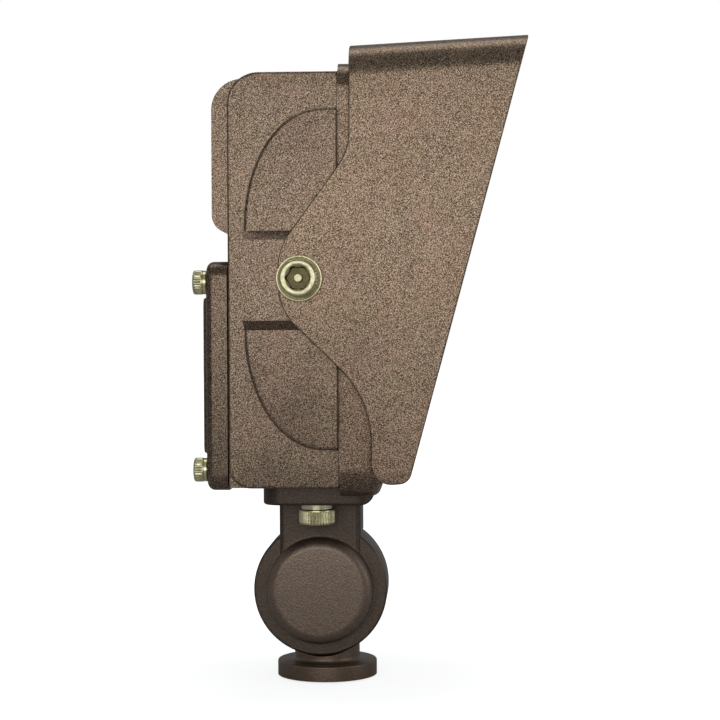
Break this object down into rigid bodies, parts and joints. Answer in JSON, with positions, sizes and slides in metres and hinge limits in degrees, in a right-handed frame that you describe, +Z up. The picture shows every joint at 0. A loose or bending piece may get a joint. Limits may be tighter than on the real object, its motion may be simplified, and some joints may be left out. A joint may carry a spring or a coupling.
{
  "type": "landscape flood light",
  "caption": "Tall cast flood light with a folded visor on side pivots, a finned back, a gasketed rear cover and a knuckle arm on a threaded round foot.",
  "frame": {"origin": "centre of the threaded hole's mouth in the foot's underside", "axes": "+Z up along the foot's axis and the height of the light, +X the way the light shines, Y along the knuckle's and the visor's axes"},
  "size_m": [0.1184, 0.1244, 0.2306],
  "materials": {
    "bronze": "textured bronze powder coat",
    "dark_bronze": "smooth dark bronze powder coat",
    "visor_bronze": "textured bronze powder coat on sheet",
    "steel": "yellow-passivated steel",
    "seal": "black silicone rubber",
    "glass": "clear tempered glass",
    "reflector": "metallised plastic",
    "board": "white solder mask on aluminium",
    "emitter": "yellow phosphor in silicone",
    "potting": "black potted case",
    "lead": "silicone wire insulation"
  },
  "bodies": {
    "base": {"lower_arm": "dark_bronze"},
    "head": {"upper_arm": "dark_bronze", "knuckle_bolt": "steel", "knuckle_lock_washer": "steel", "knuckle_seal": "seal", "flange_gasket": "seal", "flange_screws": "steel", "flange_lock_washers": "steel", "housing": "bronze", "rear_cover": "bronze", "cover_gasket": "seal", "cover_screws": "steel", "cover_lock_washers": "steel", "driver_module": "potting", "driver_screws": "steel", "thermal_pad": "seal", "light_board": "board", "board_screws": "steel", "light_sources": "emitter", "reflector": "reflector", "wire_grommet": "seal", "lead_wires": "lead", "lens_gasket": "seal", "glass_lens": "glass", "bezel": "bronze", "bezel_screws": "steel", "visor_screws": "steel", "visor_washers": "steel"},
    "visor": {"visor": "visor_bronze"}
  },
  "joints": [
    {"name": "knuckle", "type": "hinge", "parent": "base", "child": "head", "pos_m": [-0.0017, 0, 0.0332], "axis": [0, 1, 0], "range_deg": [-90, 90]},
    {"name": "visor_pivot", "type": "hinge", "parent": "head", "child": "visor", "pos_m": [-0.0055, 0, 0.14615], "axis": [0, 1, 0], "range_deg": [-45, 10]}
  ]
}
